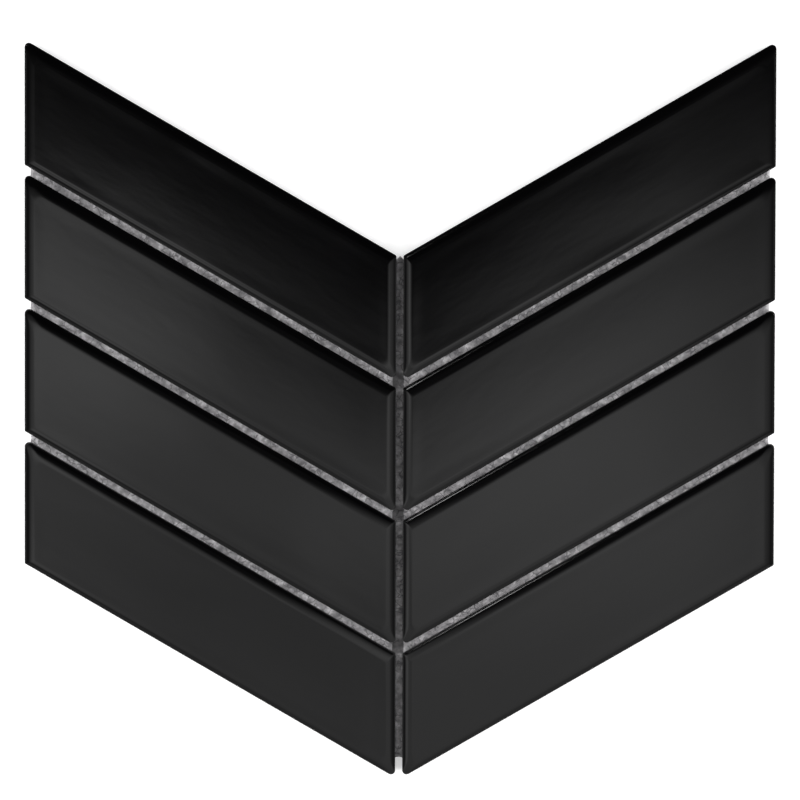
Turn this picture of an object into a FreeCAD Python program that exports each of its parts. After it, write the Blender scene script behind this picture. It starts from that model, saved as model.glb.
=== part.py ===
import FreeCAD, Part
import os

import Sketcher
from FreeCAD import Placement, Rotation, Vector

# Driving dimensions: lengths in millimetres, angles in degrees
SIZES = {
    # One tile, measured at its face
    "tile_length": 151.0,
    "tile_width": 38.0,
    "tile_thickness": 6.0,
    "chevron_angle": 30.0,
    "corner_radius": 1.2,
    "wall_draft_angle": 2.0,
    "back_bevel": 0.4,
    # The cushion edge round the face
    "shoulder_width": 3.6,
    "shoulder_drop": 1.5,
    # The keys pressed into the back for the adhesive
    "key_count": 3,
    "key_pitch": 10.0,
    "key_width": 6.0,
    "key_depth": 0.6,
    "key_end_margin": 9.0,
    # The layout of the sheet
    "row_count": 4,
    "row_joint": 2.6,
    "column_joint": 2.6,
    # The fibre backing, set in from the outline of the tiles
    "backing_thickness": 0.6,
    "backing_inset": 1.8,
    "backing_foot_inset": 3.0,
    "foot_notch_radius": 4.0,
}

# Lengths that follow from the driving dimensions, as expressions
ANGLE = "Sizes.chevron_angle * 1 deg"
RUN = f"Sizes.tile_length * cos({ANGLE})"
UPRIGHT = f"Sizes.tile_width / cos({ANGLE})"
ROW_PITCH = f"(Sizes.tile_width + Sizes.row_joint) / cos({ANGLE})"
COLUMN_OFFSET = f"({RUN} + Sizes.column_joint) / 2"
TOP_ROW = f"(Sizes.row_count - 1) / 2 * {ROW_PITCH}"
KEY_STEP = f"Sizes.key_pitch / cos({ANGLE})"

# Columns of the sheet and the sign of their slope
COLUMNS = {"left": -1, "right": 1}

# How a sketch numbers the points of an edge, its own origin and its upright axis
START_INDEX, END_INDEX, CENTRE_INDEX = 1, 2, 3
ORIGIN_INDEX = (-1, 1)
VERTICAL_AXIS_INDEX = -2


def make_sheet(doc):
    """Keep every driving dimension in a cell of its own, under its name."""
    sheet = doc.addObject("Spreadsheet::Sheet", "Sizes")
    for row, (alias, value) in enumerate(SIZES.items(), start=1):
        sheet.set(f"A{row}", alias)
        sheet.set(f"B{row}", str(value))
        sheet.setAlias(f"B{row}", alias)
    doc.recompute()


def origin_feature(body, role):
    """The plane or axis of the body's own origin that has this role."""
    return next(item for item in body.Origin.OriginFeatures if item.Role == role)


def new_sketch(body, name, plane):
    """An empty sketch on one of the body's origin planes."""
    sketch = body.newObject("Sketcher::SketchObject", name)
    sketch.AttachmentSupport = (origin_feature(body, plane), [""])
    sketch.MapMode = "FlatFace"
    return sketch


def constrain(sketch, kind, *where):
    """Add one constraint on the edges and points that are named, and return its index."""
    return sketch.addConstraint(Sketcher.Constraint(kind, *where))


def bind(sketch, name, expression, kind, *where):
    """Add a dimension to the sketch and tie it to an expression."""
    start_value = 1.0
    index = constrain(sketch, kind, *where, start_value)
    sketch.renameConstraint(index, name)
    sketch.setExpression(f"Constraints.{name}", expression)


def draw_polygon(sketch, points):
    """Draw straight edges through the points and join them end to end."""
    corners = [Vector(x, y, 0) for x, y in points]
    count = len(corners)
    for edge in range(count):
        line = Part.LineSegment(corners[edge], corners[(edge + 1) % count])
        sketch.addGeometry(line, False)
    for edge in range(count):
        constrain(sketch, "Coincident", edge, END_INDEX, (edge + 1) % count, START_INDEX)


def draw_parallelogram(sketch, slope, length, width):
    """A parallelogram about the sketch's origin, with upright ends and edges at the chevron angle."""
    half_run = SIZES["tile_length"] / 2
    half_rise = SIZES["tile_width"] / 2
    lean = slope * half_rise
    draw_polygon(sketch, [
        (-half_run, -half_rise - lean),
        (half_run, -half_rise + lean),
        (half_run, half_rise + lean),
        (-half_run, half_rise - lean),
    ])
    bottom, inner, top, outer = range(4)
    constrain(sketch, "Vertical", inner)
    constrain(sketch, "Vertical", outer)
    constrain(sketch, "Parallel", bottom, top)
    constrain(sketch, "Symmetric", bottom, START_INDEX, top, START_INDEX, *ORIGIN_INDEX)
    bind(sketch, "slope", f"{slope} * {ANGLE}", "Angle", bottom)
    bind(sketch, "length", length, "Distance", bottom)
    bind(sketch, "width", width, "Distance", top, START_INDEX, bottom)


def draw_shoulder(sketch, half_span):
    """The section cut off one edge: an arc that leaves the face level and ends low on the side wall."""
    reach = SIZES["tile_width"] / 2
    height = SIZES["tile_thickness"]
    width = SIZES["shoulder_width"]
    drop = SIZES["shoulder_drop"]
    face_end = Vector(reach - width, height, 0)
    wall_end = Vector(reach, height - drop, 0)
    outside = Vector(reach + width, height + drop, 0)
    middle = Vector(reach - width / 2, height - drop / 4, 0)
    sketch.addGeometry(Part.Arc(wall_end, middle, face_end), False)
    sketch.addGeometry(Part.LineSegment(wall_end, outside), False)
    sketch.addGeometry(Part.LineSegment(outside, face_end), False)
    arc, rise, back = range(3)
    constrain(sketch, "Coincident", arc, START_INDEX, rise, START_INDEX)
    constrain(sketch, "Coincident", rise, END_INDEX, back, START_INDEX)
    constrain(sketch, "Coincident", back, END_INDEX, arc, END_INDEX)
    constrain(sketch, "Vertical", arc, CENTRE_INDEX, arc, END_INDEX)
    bind(sketch, "face_height", "Sizes.tile_thickness", "DistanceY", *ORIGIN_INDEX, arc, END_INDEX)
    bind(sketch, "half_span", half_span, "DistanceX", *ORIGIN_INDEX, arc, START_INDEX)
    bind(sketch, "width", "Sizes.shoulder_width", "DistanceX", arc, END_INDEX, arc, START_INDEX)
    bind(sketch, "drop", "Sizes.shoulder_drop", "DistanceY", arc, START_INDEX, arc, END_INDEX)
    bind(sketch, "clear_width", "Sizes.shoulder_width", "DistanceX", arc, START_INDEX, rise, END_INDEX)
    bind(sketch, "clear_height", "Sizes.shoulder_drop", "DistanceY", arc, END_INDEX, rise, END_INDEX)


def add_shoulder_cut(body, name, turn, half_span):
    """Cut the cushion edge along one side; turn swings its section about the upright axis."""
    sketch = new_sketch(body, f"{name}_section", "XZ_Plane")
    sketch.AttachmentOffset = Placement(Vector(), Rotation(Vector(0, 1, 0), 0))
    sketch.setExpression("AttachmentOffset.Rotation.Angle", turn)
    draw_shoulder(sketch, half_span)
    cut = body.newObject("PartDesign::Pocket", name)
    cut.Profile = sketch
    cut.Type = "ThroughAll"
    cut.Midplane = True
    return cut


def edge_names(shape, wanted):
    """Names of the edges of a shape that pass a test."""
    return [f"Edge{number}" for number, edge in enumerate(shape.Edges, start=1) if wanted(edge)]


def stands_up(edge):
    """Whether an edge runs from the back of a tile to its face."""
    return edge.BoundBox.ZLength > SIZES["tile_thickness"] / 2


def lies_on_back(edge):
    """Whether an edge lies in the back plane of a tile."""
    return edge.BoundBox.ZMax < SIZES["back_bevel"] / 2


def make_tile(doc, column, row):
    """One fired tile, its back on the body's base plane and its centre on the body's axis."""
    slope = COLUMNS[column]
    name = f"tile_{column}_{row + 1}"
    body = doc.addObject("PartDesign::Body", name)
    body.Label = name
    body.setExpression("Placement.Base.x", f"{slope} * {COLUMN_OFFSET}")
    body.setExpression("Placement.Base.y", f"{TOP_ROW} - {row} * {ROW_PITCH}")
    body.setExpression("Placement.Base.z", "Sizes.backing_thickness")

    # The pressed blank, narrower at the back so that it leaves its mould
    outline = new_sketch(body, f"{name}_outline", "XY_Plane")
    outline.setExpression("AttachmentOffset.Base.z", "Sizes.tile_thickness")
    draw_parallelogram(outline, slope, "Sizes.tile_length", "Sizes.tile_width")
    blank = body.newObject("PartDesign::Pad", f"{name}_blank")
    blank.Profile = outline
    blank.Reversed = True
    blank.setExpression("Length", "Sizes.tile_thickness")
    blank.setExpression("TaperAngle", "-Sizes.wall_draft_angle * 1 deg")
    doc.recompute()

    corners = body.newObject("PartDesign::Fillet", f"{name}_corners")
    corners.Base = (blank, edge_names(blank.Shape, stands_up))
    corners.setExpression("Radius", "Sizes.corner_radius")
    doc.recompute()

    bevel = body.newObject("PartDesign::Chamfer", f"{name}_bevel")
    bevel.Base = (corners, edge_names(corners.Shape, lies_on_back))
    bevel.setExpression("Size", "Sizes.back_bevel")
    doc.recompute()

    # The cushion edge: one end and one long side, then both again half a turn round
    end_cut = add_shoulder_cut(body, f"{name}_end_shoulder", "0 deg", f"{RUN} / 2")
    long_turn = f"90 deg + {slope} * {ANGLE}"
    long_cut = add_shoulder_cut(body, f"{name}_long_shoulder", long_turn, "Sizes.tile_width / 2")
    opposite = body.newObject("PartDesign::PolarPattern", f"{name}_shoulders")
    opposite.Originals = [end_cut, long_cut]
    opposite.Axis = (origin_feature(body, "Z_Axis"), [""])
    opposite.Angle = 360
    opposite.Occurrences = 2
    body.Tip = opposite
    doc.recompute()

    # The keys in the back, side by side across the tile
    slot = new_sketch(body, f"{name}_key_outline", "XY_Plane")
    slot.setExpression("AttachmentOffset.Base.y", f"-(Sizes.key_count - 1) / 2 * {KEY_STEP}")
    draw_parallelogram(slot, slope, "Sizes.tile_length - 2 * Sizes.key_end_margin", "Sizes.key_width")
    key = body.newObject("PartDesign::Pocket", f"{name}_key")
    key.Profile = slot
    key.Reversed = True
    key.setExpression("Length", "Sizes.key_depth")
    keys = body.newObject("PartDesign::LinearPattern", f"{name}_keys")
    keys.Originals = [key]
    keys.Direction = (origin_feature(body, "Y_Axis"), [""])
    keys.setExpression("Length", f"(Sizes.key_count - 1) * {KEY_STEP}")
    keys.setExpression("Occurrences", "Sizes.key_count")
    body.Tip = keys
    doc.recompute()
    return body


def make_backing(doc):
    """The fibre sheet under all the tiles, cut to a chevron inside their outline."""
    body = doc.addObject("PartDesign::Body", "backing_sheet")
    body.Label = "backing_sheet"

    half_width = SIZES["tile_length"]
    half_height = SIZES["row_count"] * SIZES["tile_width"] / 2
    lean = half_width / 2
    outline = new_sketch(body, "backing_outline", "XY_Plane")
    draw_polygon(outline, [
        (-half_width, half_height + lean),
        (-half_width, lean - half_height),
        (0, -half_height - lean),
        (half_width, lean - half_height),
        (half_width, half_height + lean),
        (0, half_height - lean),
    ])
    left, left_foot, right_foot, right, right_head, left_head = range(6)
    constrain(outline, "Symmetric", left, START_INDEX, right, END_INDEX, VERTICAL_AXIS_INDEX)
    constrain(outline, "Symmetric", left, END_INDEX, right, START_INDEX, VERTICAL_AXIS_INDEX)
    constrain(outline, "PointOnObject", left_foot, END_INDEX, VERTICAL_AXIS_INDEX)
    constrain(outline, "PointOnObject", left_head, START_INDEX, VERTICAL_AXIS_INDEX)
    constrain(outline, "Vertical", right)
    constrain(outline, "Parallel", right_foot, right_head)
    fall = f"{COLUMN_OFFSET} * tan({ANGLE})"
    head = f"{TOP_ROW} + {UPRIGHT} / 2 - {fall} - Sizes.backing_inset / cos({ANGLE})"
    foot = f"{TOP_ROW} + {UPRIGHT} / 2 + {fall} - Sizes.backing_foot_inset / cos({ANGLE})"
    bind(outline, "slope", ANGLE, "Angle", right_foot)
    bind(outline, "half_width", f"{RUN} + Sizes.column_joint / 2 - Sizes.backing_inset", "DistanceX",
         *ORIGIN_INDEX, right, START_INDEX)
    bind(outline, "head", head, "DistanceY", *ORIGIN_INDEX, left_head, START_INDEX)
    bind(outline, "foot", foot, "DistanceY", left_foot, END_INDEX, *ORIGIN_INDEX)
    layer = body.newObject("PartDesign::Pad", "backing_layer")
    layer.Profile = outline
    layer.setExpression("Length", "Sizes.backing_thickness")
    doc.recompute()

    # The lower point is cut back in a round notch
    circle = new_sketch(body, "foot_notch_outline", "XY_Plane")
    circle.setExpression("AttachmentOffset.Base.y", f"-({foot})")
    circle.addGeometry(Part.Circle(Vector(), Vector(0, 0, 1), SIZES["foot_notch_radius"]), False)
    constrain(circle, "Coincident", 0, CENTRE_INDEX, *ORIGIN_INDEX)
    bind(circle, "radius", "Sizes.foot_notch_radius", "Radius", 0)
    notch = body.newObject("PartDesign::Pocket", "foot_notch")
    notch.Profile = circle
    notch.Type = "ThroughAll"
    notch.Midplane = True
    doc.recompute()
    return body


def check(doc, bodies):
    """Stop if any object failed or any body has no sound solid."""
    for item in doc.Objects:
        if "Invalid" in item.State or "Error" in item.State:
            raise RuntimeError(f"{item.Name}: {item.State}")
    for body in bodies:
        if body.Shape.isNull() or not body.Shape.isValid() or len(body.Shape.Solids) != 1:
            raise RuntimeError(f"{body.Label}: no sound solid")


def main():
    doc = FreeCAD.newDocument("chevron_mosaic_sheet")
    make_sheet(doc)
    bodies = [make_tile(doc, column, row) for column in COLUMNS for row in range(SIZES["row_count"])]
    bodies.append(make_backing(doc))
    doc.recompute()
    check(doc, bodies)
    os.makedirs("parts", exist_ok=True)
    for body in bodies:
        body.Shape.exportStep(f"parts/{body.Label}.step")


main()
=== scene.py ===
import math

import bmesh
import bpy
import numpy as np
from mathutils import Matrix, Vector


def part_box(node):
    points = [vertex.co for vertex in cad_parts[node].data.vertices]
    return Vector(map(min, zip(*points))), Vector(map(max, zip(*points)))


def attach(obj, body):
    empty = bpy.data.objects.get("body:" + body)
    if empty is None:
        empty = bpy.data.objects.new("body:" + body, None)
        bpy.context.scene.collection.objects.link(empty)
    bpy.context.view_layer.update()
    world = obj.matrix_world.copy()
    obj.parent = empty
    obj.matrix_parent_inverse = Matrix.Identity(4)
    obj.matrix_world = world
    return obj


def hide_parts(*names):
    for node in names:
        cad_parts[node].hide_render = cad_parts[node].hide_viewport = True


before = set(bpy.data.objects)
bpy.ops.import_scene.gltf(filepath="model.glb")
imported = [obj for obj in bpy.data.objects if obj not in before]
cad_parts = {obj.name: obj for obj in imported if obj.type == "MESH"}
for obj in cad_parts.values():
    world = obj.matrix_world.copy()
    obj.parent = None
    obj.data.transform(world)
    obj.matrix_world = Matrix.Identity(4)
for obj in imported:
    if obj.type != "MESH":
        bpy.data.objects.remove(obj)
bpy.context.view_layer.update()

MM = 0.001

# The tile, as it leaves the press and the kiln
TILE_LENGTH = 151 * MM
TILE_WIDTH = 38 * MM
TILE_THICKNESS = 6 * MM
CHEVRON_ANGLE = 30.0
ACUTE_RADIUS = 1.5 * MM
OBTUSE_RADIUS = 0.6 * MM
CORNER_GROWTH = 0.15
WALL_DRAFT = 2.0
BACK_BEVEL = 0.4 * MM
SHOULDER_SPREAD = 3.7 * MM
SHOULDER_DROP = 1.5 * MM
RIM_RADIUS = 0.3 * MM
RIM_START = 36.0
FACE_CROWN = 0.05 * MM
FACE_SHIFT = (0.15 * MM, -1.0 * MM)
WAVE_DEPTH = 0.25 * MM
WAVE_COUNT = 5
WAVE_LENGTHS = (28 * MM, 70 * MM)

# The sheet: each column's slope, and how far a tile's sides stand out along the joints
ROWS = 4
COLUMNS = {"left": -1, "right": 1}
ROW_GROWTH = 0.15 * MM
COLUMN_GROWTH = 0.12 * MM
TILE_SEED_STEP = 10

# The fibre backing
BACKING_THICKNESS = 0.6 * MM
FOOT_NOTCH = 4 * MM
TONGUE_LENGTH = 2.6 * MM
TONGUE_HALF_WIDTH = 1.6 * MM
TEAR_DEPTH = 0.35 * MM
TEAR_COUNT = 9
TEAR_LENGTHS = (2.5 * MM, 14 * MM)
TEAR_START = 0.9
SIDE_LENGTH = 200 * MM
LOFT = 0.12 * MM
LOFT_SLANT = 3
BACKING_SEED = 7

# How finely the surfaces are divided
LONG_STEPS = 64
SHORT_STEPS = 16
ARC_STEPS = 7
FACE_STEPS = 14
SHOULDER_STEPS = 18
RIM_STEPS = 7
WALL_STEPS = 5
BACK_STEPS = 5
NOTCH_STEPS = 33
SIDE_STEPS = 100
UP_STEPS = 101
MERGE_DISTANCE = 0.001 * MM

# Worked out from the values above
COSINE = math.cos(math.radians(CHEVRON_ANGLE))
SINE = math.sin(math.radians(CHEVRON_ANGLE))
TANGENT = math.tan(math.radians(CHEVRON_ANGLE))
RUN = TILE_LENGTH * COSINE
HALF_WIDTH = TILE_WIDTH / 2
RIM_INSET = SHOULDER_DROP * math.tan(math.radians(WALL_DRAFT))

# Which side each corner of an outline is on, counter-clockwise from the lower left
SIDE_X = np.array([-1, 1, 1, -1])
SIDE_Y = np.array([-1, -1, 1, 1])

# In the finishes, a noise is its scale and detail, and a fade its start and stop and the level at each

# The glaze, and the bare body below the glaze line
GLAZE_IOR = 1.5
GLAZE_DARK = (0.0004, 0.0004, 0.00045, 1)
GLAZE_PALE = (0.0010, 0.0009, 0.0011, 1)
GLAZE_ROUGHNESS = (0.07, 0.12)
GLAZE_CLOUDS = (45, 4)
GLAZE_LINE = (3.9 * MM, 4.2 * MM, 0, 1)
GLAZE_LINE_WANDER = 1.2 * MM
GLAZE_LINE_NOISE = (120, 3)
STREAKS_ALONG = 45
STREAKS_ACROSS = 170
STREAK_NOISE = (1, 2)
STREAK_DEPTH = 0.04 * MM
BODY_COLOUR = (0.012, 0.0118, 0.012, 1)
BODY_ROUGHNESS = 0.7

# The fleece: a tone is its place on the ramp and its colour
FLEECE_ROUGHNESS = 0.95
FLEECE_SPECULAR = 0.15
FLEECE_BUMP = 0.6
FLEECE_DEPTH = 0.3 * MM
TUFT_NOISE = (620, 4)
TUFT_SHARE = 0.75
PATCH_NOISE = (230, 2)
PATCH_SHARE = 0.55
FIBRE_SCALE = 420
FIBRE_FADE = (0, 0.09, -0.30, 0)
FIBRE_BEND = 2.4 * MM
FIBRE_BEND_SCALE = 350
FIBRE_PATCHES = (300, 1)
FIBRE_SHOWN = (0.42, 0.58, 0, 1)
GAP_TONE = (0.42, (0.25, 0.244, 0.255, 1))
MIDDLE_TONE = (0.66, (0.56, 0.545, 0.56, 1))
TUFT_TONE = (0.86, (0.97, 0.95, 0.97, 1))
# The painted shade along the centre joint: its dark colour, its ragged edge, its strip, and how much
# stronger it is where the slanted joints cross
CENTRE_SHADE_COLOUR = (0.02, 0.02, 0.02, 1)
CENTRE_SHADE_RAGGEDNESS = 0.9 * MM
CENTRE_SHADE_STRIP = (1.8 * MM, 2.2 * MM, 1, 0)
CROSSING_SHADE = (2.2 * MM, 4.0 * MM, 0.78, 0.08)

# The floor
FLOOR_CENTRE = (0, 0, -0.2 * MM)
FLOOR_HALF_SIZE = (4, 4)
FLOOR_COLOUR = (0.8, 0.8, 0.8, 1)
FLOOR_GLOW = (0.2, 0.7, 0.42, 1)

# The overhead panel, in metres: a left glow with two spots and a foot, a right glow, and a V-shaped edge
PANEL_CENTRE = (0, -0.215, 0.24)
PANEL_HALF_SIZE = (0.58, 0.345)
PANEL_SEAM = (-0.012, 0.004, 0, 1)
PANEL_FALL = (-0.12, -0.42, 1, 0.8)
PANEL_BASE = (0.10, 0.15, 0.045, 0.01)
LEFT_FALL = (-0.045, -0.085, 0.67, 0.49)
LEFT_HEAD = (0.06, 0.09, 1, 0.5)
LEFT_END = (-0.17, -0.42, 1, 0.06)
OUTER_SPOT = (-0.125, 0.027)
OUTER_SPOT_FADE = (0.02, 0.08, 0.48, 0)
INNER_SPOT = (-0.014, -0.064)
INNER_SPOT_FADE = (0.008, 0.040, 0.15, 0)
LEFT_FOOT = (-0.115, -0.165, 0, 1)
FOOT_OUTWARD = (0.02, 0.135, 0.58, 1.15)
FOOT_DOWNWARD = (-0.03, -0.10, 0.65, 1)
RIGHT_OUTWARD = (0.03, 0.165, 1, 0.50)
RIGHT_END = (0.15, 0.50, 1, 0.2)
RIGHT_FALL = (-0.02, -0.13, 1, 0.66)
VEE_REACH = (-0.004, 0.004, 0.17, 0.105)
VEE_LEAN = (-0.004, 0.004, -0.76, -0.95)
VEE_LIFT = (-0.004, 0.004, 0.006, 0.0086)
VEE_TIP_SQUARED = 0.00003
VEE_FADE = (-0.079, 0.045, 1, 0)

# The room, by the direction that is seen: up to its ceiling, to the lower side, and there to the right
ROOM_CEILING = (0.36, 0.56, 0.40, 0.012)
ROOM_LOWER_SIDE = (0.4, -0.9, 0, 1)
ROOM_RIGHT = (-0.6, 0.6, 0.425, 0.50)

# The lamps: angles in degrees, and the radiance of a lamp's face
LAMP_DISTANCE = 1.0
SOFTBOX_AZIMUTHS = {"right_upper": 30, "left_upper": 150, "left_lower": 210, "right_lower": 330}
SOFTBOX_ELEVATION = 30
SOFTBOX_SIZE = 0.45
SOFTBOX_RADIANCE = 8.2
SMALL_LAMP_AZIMUTH = 122.9
SMALL_LAMP_ELEVATION = 43.9
SMALL_LAMP_SIZE = 0.05
SMALL_LAMP_RADIANCE = 12.5

# The camera looks down on the sheet from a little beyond its upper side
CAMERA_DISTANCE = 2.4
CAMERA_TILT = 3.0
CAMERA_ROLL = 0.15
CAMERA_AIM = (-0.0002, 0.0036, 0.0066)
CAMERA_FAR_END = 100
FRAME_WIDTH = 0.2815
SENSOR_WIDTH = 36.0


def smooth_step(low, high, value):
    """Rises from 0 at low to 1 at high along the curve 3 t^2 - 2 t^3."""
    share = np.clip((value - low) / (high - low), 0, 1)
    return share * share * (3 - 2 * share)


def node_box(node):
    """The lower and the upper corner of a solid's box, as arrays."""
    low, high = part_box(node)
    return np.array(low), np.array(high)


def outline_rings(inset, radius, slope):
    """Closed outlines of a rounded parallelogram, one for each inset, with a radius for each corner.

    Each corner is the sharp corner, drawn in by inset plus radius, with an arc of that radius about it. The
    straight runs join the ends of the arcs, so they lie the inset in from the sharp edges.
    """
    core = inset[:, None] + radius
    corner_x = (RUN / 2 - core) * SIDE_X
    corner_y = slope * TANGENT * corner_x + (HALF_WIDTH - core) / COSINE * SIDE_Y
    corners = np.stack([corner_x, corner_y], axis=-1)
    lean = slope * CHEVRON_ANGLE
    normal_angles = np.radians([lean - 90, 0, lean + 90, 180, lean + 270])
    runs = []
    for edge, steps in enumerate((LONG_STEPS, SHORT_STEPS, LONG_STEPS, SHORT_STEPS)):
        ahead = (edge + 1) % 4
        normal = np.array([math.cos(normal_angles[edge]), math.sin(normal_angles[edge])])
        start = (corners[:, edge] + radius[:, edge, None] * normal)[:, None]
        end = (corners[:, ahead] + radius[:, ahead, None] * normal)[:, None]
        along = np.linspace(0, 1, steps, endpoint=False)[None, :, None]
        runs.append(start + (end - start) * along)
        turn = np.linspace(normal_angles[edge], normal_angles[edge + 1], ARC_STEPS, endpoint=False)
        spokes = np.stack([np.cos(turn), np.sin(turn)], axis=-1)
        runs.append(corners[:, ahead, None] + radius[:, ahead, None, None] * spokes)
    return np.concatenate(runs, axis=1)


def tile_profile():
    """Half section of a tile, from the middle of its face to the middle of its back, as inset and height.

    The face is level. The shoulder falls away as a power of the distance from the face, so that it leaves
    the face level and meets the rim at the rim's own slope. The rim is a tight arc that runs on to the
    drafted wall, and a bevel leads to the level back. The points of face and shoulder are marked as on top.
    """
    rim_start = math.radians(RIM_START)
    rim_end = math.radians(90 + WALL_DRAFT)
    span = SHOULDER_SPREAD - RIM_RADIUS * (1 - math.sin(rim_start))
    drop = SHOULDER_DROP - RIM_RADIUS * math.cos(rim_start)
    power = math.tan(rim_start) * span / drop
    face_inset = np.linspace(HALF_WIDTH, RIM_INSET + SHOULDER_SPREAD, FACE_STEPS, endpoint=False)
    face_height = np.full_like(face_inset, TILE_THICKNESS)
    away = np.linspace(0, 1, SHOULDER_STEPS)
    shoulder_inset = RIM_INSET + SHOULDER_SPREAD - span * away
    shoulder_height = TILE_THICKNESS - drop * away ** power
    tilt = np.linspace(rim_start, rim_end, RIM_STEPS)[1:]
    rim_inset = shoulder_inset[-1] - RIM_RADIUS * (np.sin(tilt) - math.sin(rim_start))
    rim_height = shoulder_height[-1] - RIM_RADIUS * (math.cos(rim_start) - np.cos(tilt))
    wall_height = np.linspace(rim_height[-1], BACK_BEVEL, WALL_STEPS)[1:]
    wall_inset = rim_inset[-1] + (rim_height[-1] - wall_height) * math.tan(math.radians(WALL_DRAFT))
    back_inset = np.linspace(wall_inset[-1] + BACK_BEVEL, HALF_WIDTH, BACK_STEPS)
    back_height = np.zeros_like(back_inset)
    inset = np.concatenate([face_inset, shoulder_inset, rim_inset, wall_inset, back_inset])
    height = np.concatenate([face_height, shoulder_height, rim_height, wall_height, back_height])
    on_top = np.arange(len(inset)) < len(face_inset) + len(shoulder_inset)
    return inset, height, on_top


def glaze_waves(x, y, chance):
    """The mean of long low sine waves with chance directions, lengths and phases, between -1 and 1."""
    direction = chance.uniform(0, math.pi, WAVE_COUNT)
    length = chance.uniform(*WAVE_LENGTHS, WAVE_COUNT)
    phase = chance.uniform(0, 2 * math.pi, WAVE_COUNT)
    along = x[..., None] * np.cos(direction) + y[..., None] * np.sin(direction)
    return np.sin(2 * math.pi * along / length + phase).mean(axis=-1)


def tile_points(slope, centre, joints, chance):
    """Points of one tile: its profile carried round the outline, ring by ring, with a wavy crowned face.

    The corners grow rounder across the shoulder, and the face sits a little off the middle, lower down and
    towards the centre joint. The crown falls off with the square of the distance from the middle line, and
    the waves fade out towards the rim. The sides that face a joint, which are the inner one and those above
    and below that joints marks, stand out a little, in step with the distance from the middle.
    """
    inset, height, on_top = tile_profile()
    rim_radius = np.where(SIDE_X * SIDE_Y * slope > 0, ACUTE_RADIUS, OBTUSE_RADIUS)
    growth = CORNER_GROWTH * np.minimum(inset, SHOULDER_SPREAD) * on_top
    radius = np.minimum(rim_radius + growth[:, None], (HALF_WIDTH - inset)[:, None])
    flat = outline_rings(inset, radius, slope)
    shifted = smooth_step(0, SHOULDER_SPREAD, inset) * on_top
    flat = flat + shifted[:, None, None] * np.array([-slope * FACE_SHIFT[0], FACE_SHIFT[1]])

    crown = FACE_CROWN * (1 - inset / HALF_WIDTH) ** 2 * on_top
    level = smooth_step(0, 2 * SHOULDER_SPREAD, inset) * on_top
    wave = WAVE_DEPTH * level[:, None] * (1 + glaze_waves(flat[..., 0], flat[..., 1], chance)) / 2
    rise = (height - crown)[:, None] - wave

    above, below = joints
    inward = COLUMN_GROWTH * np.clip(-slope * flat[..., 0] / (RUN / 2), 0, 1)
    across = (flat[..., 1] - slope * TANGENT * flat[..., 0]) * COSINE / HALF_WIDTH
    outward = ROW_GROWTH / COSINE * across * np.where(across > 0, above, below)
    grown = np.stack([-slope * inward, outward - TANGENT * inward], axis=-1)
    return np.concatenate([flat + grown + centre[:2], rise[..., None] + centre[2]], axis=-1)


def ring_faces(rings, around):
    """Quads between neighbouring rings of points, closed round, with outward faces."""
    ring, step = np.meshgrid(np.arange(rings - 1), np.arange(around), indexing="ij")
    here = ring * around
    there = here + around
    ahead = (step + 1) % around
    return np.stack([here + step, there + step, there + ahead, here + ahead], axis=-1).reshape(-1, 4)


def make_piece(name, points, faces, material, node):
    """A smooth mesh object from arrays, with its doubled points merged, riding on the sheet's one body."""
    mesh = bpy.data.meshes.new(name)
    mesh.from_pydata(points.reshape(-1, 3).tolist(), [], faces.tolist())
    work = bmesh.new()
    work.from_mesh(mesh)
    bmesh.ops.remove_doubles(work, verts=work.verts, dist=MERGE_DISTANCE)
    work.to_mesh(mesh)
    work.free()
    mesh.polygons.foreach_set("use_smooth", np.ones(len(mesh.polygons), dtype=bool))
    mesh.materials.append(material)
    piece = bpy.data.objects.new(name, mesh)
    bpy.context.scene.collection.objects.link(piece)
    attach(piece, "root")
    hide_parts(node)
    return piece


def make_tiles(material):
    """Eight tiles, each about the centre of its own solid and with its own seed."""
    for column, slope in COLUMNS.items():
        for row in range(1, ROWS + 1):
            node = f"tile_{column}_{row}"
            low, high = node_box(node)
            centre = (low + high) / 2
            centre[2] = low[2]
            chance = np.random.default_rng(TILE_SEED_STEP * row + slope)
            points = tile_points(slope, centre, (row > 1, row < ROWS), chance)
            faces = ring_faces(*points.shape[:2])
            make_piece(f"glazed_{node}", points, faces, material, node)


def edge_wander(along, chance):
    """How far a torn edge draws in, from 0 to 1: the mean of sine waves with chance lengths and phases."""
    length = chance.uniform(*TEAR_LENGTHS, TEAR_COUNT)
    phase = chance.uniform(0, 2 * math.pi, TEAR_COUNT)
    return 0.5 + 0.5 * np.sin(2 * math.pi * along[..., None] / length + phase).mean(axis=-1)


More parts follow.
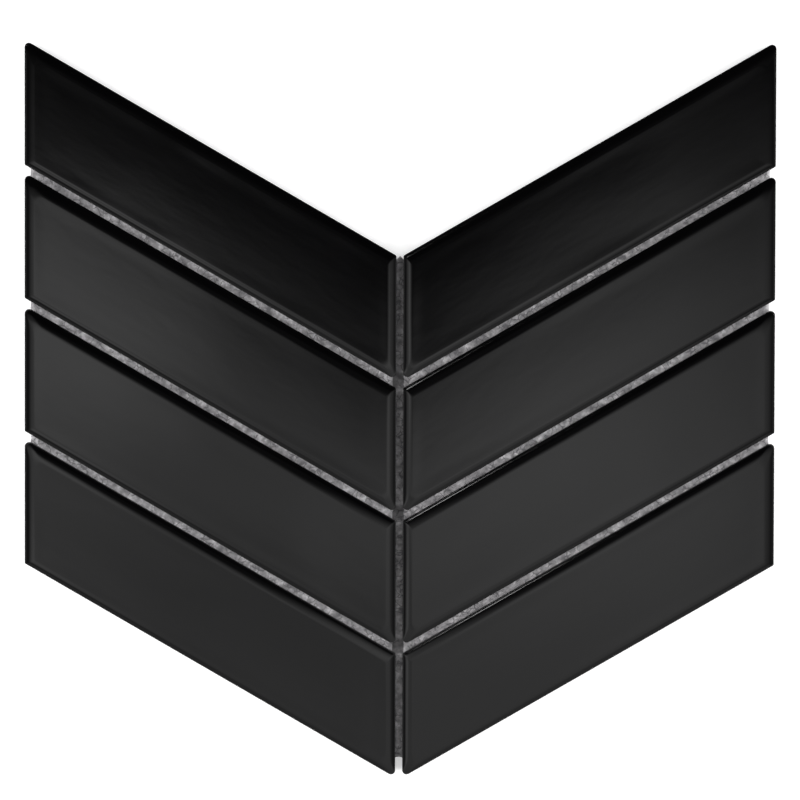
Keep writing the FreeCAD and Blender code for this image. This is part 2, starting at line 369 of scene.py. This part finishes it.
def backing_points():
    """Top and underside of the fibre sheet on a grid of across and up: a chevron with a notched point.

    Across runs from side to side, and is finest over the notch. Up runs from the lower to the upper edge.
    Both edges rise by the chevron angle away from the middle. The lower one also clears a circle about its
    point, and the upper one has a short tongue in the centre joint. All edges draw in a little, and the top
    is slightly uneven. Each column of the grid goes up the top and comes back down the underside.
    """
    low, high = node_box("backing_sheet")
    half_width = high[0]
    head = high[1] - half_width * TANGENT
    foot = low[1] - FOOT_NOTCH * SINE
    chance = np.random.default_rng(BACKING_SEED)
    middle = np.linspace(-FOOT_NOTCH, FOOT_NOTCH, NOTCH_STEPS)
    side = np.linspace(FOOT_NOTCH, half_width, SIDE_STEPS)[1:]
    columns = np.concatenate([-side[::-1], middle, side])
    x, up = np.meshgrid(columns, np.linspace(0, 1, UP_STEPS), indexing="ij")
    edge = smooth_step(TEAR_START * half_width, half_width, abs(x))
    x = x - np.sign(x) * TEAR_DEPTH * edge_wander(up * SIDE_LENGTH, chance) * edge
    rise = abs(x) * TANGENT
    notch = np.sqrt(np.clip(FOOT_NOTCH ** 2 - x ** 2, 0, None))
    lower = foot + np.maximum(rise, notch) + TEAR_DEPTH * edge_wander(x, chance)
    tongue = TONGUE_LENGTH * np.clip(1 - abs(x) / TONGUE_HALF_WIDTH, 0, 1)
    upper = head + rise + tongue - TEAR_DEPTH * edge_wander(x, chance)
    y = lower + (upper - lower) * up
    top_height = BACKING_THICKNESS - LOFT * edge_wander(LOFT_SLANT * x + y, chance)
    top = np.stack([x, y, top_height], axis=-1)
    underside = np.stack([x, y, np.zeros_like(x)], axis=-1)
    return np.concatenate([top, underside[:, ::-1]], axis=1)


def backing_faces(columns, around):
    """Quads between neighbouring columns of the sheet, closed round, and strips that close its sides."""
    body = ring_faces(columns, around)
    half = around // 2
    step = np.arange(half - 1)
    below = around - 1 - step
    left = np.stack([step, step + 1, below - 1, below], axis=-1)
    right = left[:, ::-1] + (columns - 1) * around
    return np.concatenate([body, left, right])


def make_backing(material):
    """The fibre sheet under all eight tiles, at the size of its solid."""
    points = backing_points()
    faces = backing_faces(*points.shape[:2])
    sheet = make_piece("fibre_backing_sheet", points, faces, material, "backing_sheet")


class Finish:
    """The node tree of one material or of the room, with short ways to add to it."""

    def __init__(self, owner):
        owner.use_nodes = True
        self.tree = owner.node_tree
        self.tree.nodes.clear()

    def add(self, kind, inputs, **settings):
        """A node with its settings, each input given a value or fed by another node's output."""
        node = self.tree.nodes.new(kind)
        for key, value in settings.items():
            setattr(node, key, value)
        for key, source in inputs.items():
            if isinstance(source, bpy.types.NodeSocket):
                self.tree.links.new(source, node.inputs[key])
            else:
                node.inputs[key].default_value = source
        return node

    def place(self, kind):
        """Where the shaded point is, in one kind of coordinates."""
        return self.add("ShaderNodeTexCoord", {}).outputs[kind]

    def axes(self, place):
        """The X, Y and Z of a place."""
        return self.add("ShaderNodeSeparateXYZ", {"Vector": place}).outputs

    def calculate(self, operation, *terms):
        """The result of one operation on values or outputs."""
        return self.add("ShaderNodeMath", dict(enumerate(terms)), operation=operation).outputs["Value"]

    def fade(self, source, start, stop, first, last):
        """A smooth fade from a first level, with the source at start, to a last one, with it at stop."""
        ends = {"Value": source, "From Min": start, "From Max": stop, "To Min": first, "To Max": last}
        return self.add("ShaderNodeMapRange", ends, interpolation_type="SMOOTHSTEP").outputs["Result"]

    def mix(self, share, first, last, data_type):
        """The first where the share is 0 and the last where it is 1, and in proportion between."""
        ends = {"Factor": share, "A": first, "B": last}
        return self.add("ShaderNodeMix", ends, data_type=data_type).outputs["Result"]

    def noise(self, place, scale, detail):
        """Cloudy noise from 0 to 1."""
        ends = {"Vector": place, "Scale": scale, "Detail": detail}
        return self.add("ShaderNodeTexNoise", ends).outputs["Fac"]

    def bump(self, height, strength, depth):
        """The normal of a surface with low relief."""
        ends = {"Height": height, "Strength": strength, "Distance": depth}
        return self.add("ShaderNodeBump", ends).outputs["Normal"]

    def glow(self, strength):
        """White light given off by the surface."""
        return self.add("ShaderNodeEmission", {"Strength": strength}).outputs["Emission"]

    def cover(self, surface):
        """Make this the surface of the material."""
        self.add("ShaderNodeOutputMaterial", {"Surface": surface})


def glaze_material():
    """Black glaze over the face and rim, and the bare dark body below an uneven glaze line."""
    material = bpy.data.materials.new("black_glaze")
    finish = Finish(material)
    calculate = finish.calculate
    place = finish.place("Object")
    axes = finish.axes(place)

    # The glaze line wanders along the wall
    wander = finish.noise(place, *GLAZE_LINE_NOISE)
    glazed = finish.fade(calculate("MULTIPLY_ADD", wander, -GLAZE_LINE_WANDER, axes["Z"]), *GLAZE_LINE)

    # Clouds in the glaze vary its black and its gloss
    clouds = finish.noise(place, *GLAZE_CLOUDS)
    black = finish.mix(clouds, GLAZE_DARK, GLAZE_PALE, "RGBA")
    smooth, dull = GLAZE_ROUGHNESS
    gloss = finish.add("ShaderNodeMapRange", {"Value": clouds, "To Min": smooth, "To Max": dull})

    # Low streaks run along the tiles, in one direction for both columns with X folded at the centre joint
    folded = calculate("ABSOLUTE", axes["X"])
    along = calculate("MULTIPLY_ADD", folded, COSINE, calculate("MULTIPLY", axes["Y"], SINE))
    across = calculate("MULTIPLY_ADD", folded, -SINE, calculate("MULTIPLY", axes["Y"], COSINE))
    grain = finish.add("ShaderNodeCombineXYZ", {
        "X": calculate("MULTIPLY", along, STREAKS_ALONG),
        "Y": calculate("MULTIPLY", across, STREAKS_ACROSS),
        "Z": calculate("MULTIPLY", axes["X"], STREAKS_ALONG),
    })
    streaks = finish.noise(grain.outputs["Vector"], *STREAK_NOISE)

    surface = finish.add("ShaderNodeBsdfPrincipled", {
        "Base Color": finish.mix(glazed, BODY_COLOUR, black, "RGBA"),
        "Roughness": finish.mix(glazed, BODY_ROUGHNESS, gloss.outputs["Result"], "FLOAT"),
        "IOR": GLAZE_IOR,
        "Normal": finish.bump(streaks, 1, STREAK_DEPTH),
    })
    finish.cover(surface.outputs["BSDF"])
    return material


def fleece_tone(finish, level):
    """The fleece's colour at a level: dark in the gaps, grey in the middle and pale on the tufts."""
    tone = finish.add("ShaderNodeValToRGB", {"Fac": level})
    elements = tone.color_ramp.elements
    elements[0].position, elements[0].color = GAP_TONE
    elements[1].position, elements[1].color = TUFT_TONE
    position, colour = MIDDLE_TONE
    elements.new(position).color = colour
    return tone.outputs["Color"]


def fleece_material():
    """Grey fibre fleece: pale tufts, dark gaps and fine fibres, with painted shade along the centre joint.
    """
    material = bpy.data.materials.new("fibre_backing")
    finish = Finish(material)
    calculate = finish.calculate
    fade = finish.fade
    place = finish.place("Object")
    axes = finish.axes(place)
    tufts = finish.noise(place, *TUFT_NOISE)
    patches = finish.noise(place, *PATCH_NOISE)
    level = calculate("MULTIPLY_ADD", patches, PATCH_SHARE, calculate("MULTIPLY", tufts, TUFT_SHARE))

    # Fine dark fibres wander through the fleece, here and there
    bend = finish.add("ShaderNodeTexNoise", {"Vector": place, "Scale": FIBRE_BEND_SCALE}).outputs["Color"]
    shift = {0: bend, 1: (FIBRE_BEND,) * 3, 2: place}
    bent_place = finish.add("ShaderNodeVectorMath", shift, operation="MULTIPLY_ADD").outputs["Vector"]
    cells = {"Vector": bent_place, "Scale": FIBRE_SCALE}
    fibres = finish.add("ShaderNodeTexVoronoi", cells, feature="DISTANCE_TO_EDGE").outputs["Distance"]
    shown = fade(finish.noise(bent_place, *FIBRE_PATCHES), *FIBRE_SHOWN)
    level = calculate("MULTIPLY_ADD", fade(fibres, *FIBRE_FADE), shown, level)

    # Painted shade darkens the fleece along the centre joint, a little along its length and most where the
    # slanted joints cross it
    low_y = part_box("tile_left_1")[0][1]
    pitch = low_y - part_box("tile_left_2")[0][1]
    crossing = low_y + (TILE_WIDTH / COSINE - pitch) / 2
    beside = calculate("ABSOLUTE", calculate("MULTIPLY_ADD", tufts, CENTRE_SHADE_RAGGEDNESS, axes["X"]))
    beyond = calculate("WRAP", calculate("SUBTRACT", axes["Y"], crossing), pitch / 2, -pitch / 2)
    crossed = fade(calculate("ABSOLUTE", beyond), *CROSSING_SHADE)
    painted_shade = calculate("MULTIPLY", fade(beside, *CENTRE_SHADE_STRIP), crossed)

    surface = finish.add("ShaderNodeBsdfPrincipled", {
        "Base Color": finish.mix(painted_shade, fleece_tone(finish, level), CENTRE_SHADE_COLOUR, "RGBA"),
        "Roughness": FLEECE_ROUGHNESS,
        "Specular IOR Level": FLEECE_SPECULAR,
        "Normal": finish.bump(level, FLEECE_BUMP, FLEECE_DEPTH),
    })
    finish.cover(surface.outputs["BSDF"])
    return material


def floor_material():
    """A pale matt floor that keeps the sheet's shadow.

    To the camera and in reflections it also glows, less near the sheet and to full white further off.
    """
    material = bpy.data.materials.new("studio_floor")
    finish = Finish(material)
    rays = finish.add("ShaderNodeLightPath", {}).outputs
    seen = finish.calculate("MAXIMUM", rays["Is Camera Ray"], rays["Is Glossy Ray"])
    seen = finish.calculate("MAXIMUM", seen, rays["Is Transmission Ray"])
    reach = finish.add("ShaderNodeVectorMath", {0: finish.place("Object")}, operation="LENGTH")
    strength = finish.calculate("MULTIPLY", seen, finish.fade(reach.outputs["Value"], *FLOOR_GLOW))
    matt = finish.add("ShaderNodeBsdfDiffuse", {"Color": FLOOR_COLOUR})
    both = finish.add("ShaderNodeAddShader", {0: matt.outputs["BSDF"], 1: finish.glow(strength)})
    finish.cover(both.outputs["Shader"])
    return material


def panel_material():
    """Overhead light panel: two soft glows side by side, dark above a V, fading outwards and downwards."""
    material = bpy.data.materials.new("overhead_panel")
    finish = Finish(material)
    calculate = finish.calculate
    fade = finish.fade
    axes = finish.axes(finish.place("Object"))
    x, y = axes["X"], axes["Y"]

    # How far out along the tiles, and how far above the line that runs through the middle along them
    folded = calculate("ABSOLUTE", x)
    outward = calculate("MULTIPLY_ADD", folded, COSINE, calculate("MULTIPLY", y, SINE))
    upward = calculate("MULTIPLY_ADD", folded, -TANGENT, y)

    def spot(centre, levels):
        """A round glow that fades with the distance from its centre."""
        beside = calculate("SUBTRACT", x, centre[0])
        beyond = calculate("SUBTRACT", y, centre[1])
        squares = calculate("MULTIPLY_ADD", beside, beside, calculate("MULTIPLY", beyond, beyond))
        return fade(calculate("SQRT", squares), *levels)

    # The left glow has a soft spot at its outer side and a fainter one by the centre joint
    left = calculate("ADD", fade(y, *LEFT_FALL), spot(OUTER_SPOT, OUTER_SPOT_FADE))
    left = calculate("ADD", left, spot(INNER_SPOT, INNER_SPOT_FADE))

    # Its foot, which the lower shoulders mirror, glows most at its outer side
    foot = calculate("MULTIPLY", fade(outward, *FOOT_OUTWARD), fade(y, *FOOT_DOWNWARD))
    left = finish.mix(fade(upward, *LEFT_FOOT), left, foot, "FLOAT")
    left = calculate("MULTIPLY", left, fade(x, *LEFT_END))
    left = calculate("MULTIPLY", left, fade(y, *LEFT_HEAD))

    right = calculate("MULTIPLY", fade(outward, *RIGHT_OUTWARD), fade(x, *RIGHT_END))
    right = calculate("MULTIPLY", right, fade(y, *RIGHT_FALL))
    level = finish.mix(fade(x, *PANEL_SEAM), left, right, "FLOAT")

    # Height above the V, whose tip is rounded and whose arms rise to a reach of their own on either side
    away = calculate("SQRT", calculate("MULTIPLY_ADD", x, x, VEE_TIP_SQUARED))
    away = calculate("MINIMUM", away, fade(x, *VEE_REACH))
    raised = calculate("ADD", y, fade(x, *VEE_LIFT))
    above_vee = calculate("MULTIPLY_ADD", away, fade(x, *VEE_LEAN), raised)
    level = calculate("MULTIPLY", level, fade(above_vee, *VEE_FADE))
    level = calculate("MULTIPLY", level, fade(y, *PANEL_FALL))
    level = calculate("ADD", level, fade(y, *PANEL_BASE))
    finish.cover(finish.glow(level))
    return material


def make_plane(name, half_size, centre, material):
    """A flat rectangle on the stage."""
    half_x, half_y = half_size
    x, y, z = centre
    corners = [(x - half_x, y - half_y, z), (x + half_x, y - half_y, z),
               (x + half_x, y + half_y, z), (x - half_x, y + half_y, z)]
    mesh = bpy.data.meshes.new(name)
    mesh.from_pydata(corners, [], [(0, 1, 2, 3)])
    mesh.materials.append(material)
    plane = bpy.data.objects.new(name, mesh)
    bpy.context.scene.collection.objects.link(plane)
    return plane


def make_stage():
    """A wide floor just under the sheet, and a light panel over it that shows only in the glaze."""
    make_plane("studio_floor", FLOOR_HALF_SIZE, FLOOR_CENTRE, floor_material())
    panel = make_plane("overhead_panel", PANEL_HALF_SIZE, PANEL_CENTRE, panel_material())
    panel.visible_camera = False
    panel.visible_shadow = False


def make_lamp(name, azimuth, elevation, size, radiance, mirrored):
    """A square lamp at a compass angle from +X and a height angle, aimed at the sheet."""
    light = bpy.data.lights.new(name, "AREA")
    light.shape = "SQUARE"
    light.size = size
    light.energy = radiance * math.pi * size * size
    lamp = bpy.data.objects.new(name, light)
    bpy.context.scene.collection.objects.link(lamp)
    turn = math.radians(azimuth)
    climb = math.radians(elevation)
    level = math.cos(climb)
    direction = Vector((math.cos(turn) * level, math.sin(turn) * level, math.sin(climb)))
    lamp.location = LAMP_DISTANCE * direction
    lamp.rotation_euler = (-direction).to_track_quat("-Z", "Y").to_euler()
    lamp.visible_camera = False
    lamp.visible_glossy = mirrored


def make_lamps():
    """Four softboxes that light the fleece and floor evenly, and a small lamp that the glaze mirrors."""
    for corner, azimuth in SOFTBOX_AZIMUTHS.items():
        make_lamp(f"{corner}_softbox", azimuth, SOFTBOX_ELEVATION, SOFTBOX_SIZE, SOFTBOX_RADIANCE, False)
    make_lamp("upper_left_lamp", SMALL_LAMP_AZIMUTH, SMALL_LAMP_ELEVATION, SMALL_LAMP_SIZE,
              SMALL_LAMP_RADIANCE, True)


def make_room():
    """A dim room, paler low down and to the lower right, and white where the camera sees past the floor."""
    world = bpy.data.worlds.new("studio_room")
    bpy.context.scene.world = world
    finish = Finish(world)
    axes = finish.axes(finish.place("Generated"))
    upper = finish.fade(axes["Z"], *ROOM_CEILING)
    lower = finish.fade(axes["X"], *ROOM_RIGHT)
    level = finish.mix(finish.fade(axes["Y"], *ROOM_LOWER_SIDE), upper, lower, "FLOAT")
    rays = finish.add("ShaderNodeLightPath", {}).outputs
    strength = finish.calculate("MAXIMUM", level, rays["Is Camera Ray"])
    room = finish.add("ShaderNodeBackground", {"Strength": strength})
    finish.add("ShaderNodeOutputWorld", {"Surface": room.outputs["Background"]})


def make_camera():
    """The camera stands far off, tilted towards the open side of the V and rolled by a trace."""
    data = bpy.data.cameras.new("camera")
    data.sensor_width = SENSOR_WIDTH
    data.lens = SENSOR_WIDTH * CAMERA_DISTANCE / FRAME_WIDTH
    data.clip_end = CAMERA_FAR_END
    camera = bpy.data.objects.new("camera", data)
    bpy.context.scene.collection.objects.link(camera)
    tilt = math.radians(CAMERA_TILT)
    camera.location = Vector(CAMERA_AIM) + CAMERA_DISTANCE * Vector((0, math.sin(tilt), math.cos(tilt)))
    camera.rotation_euler = (-tilt, 0, math.radians(CAMERA_ROLL))
    bpy.context.scene.camera = camera


make_tiles(glaze_material())
make_backing(fleece_material())
make_stage()
make_lamps()
make_room()
make_camera()
bpy.context.scene.view_settings.view_transform = "Standard"
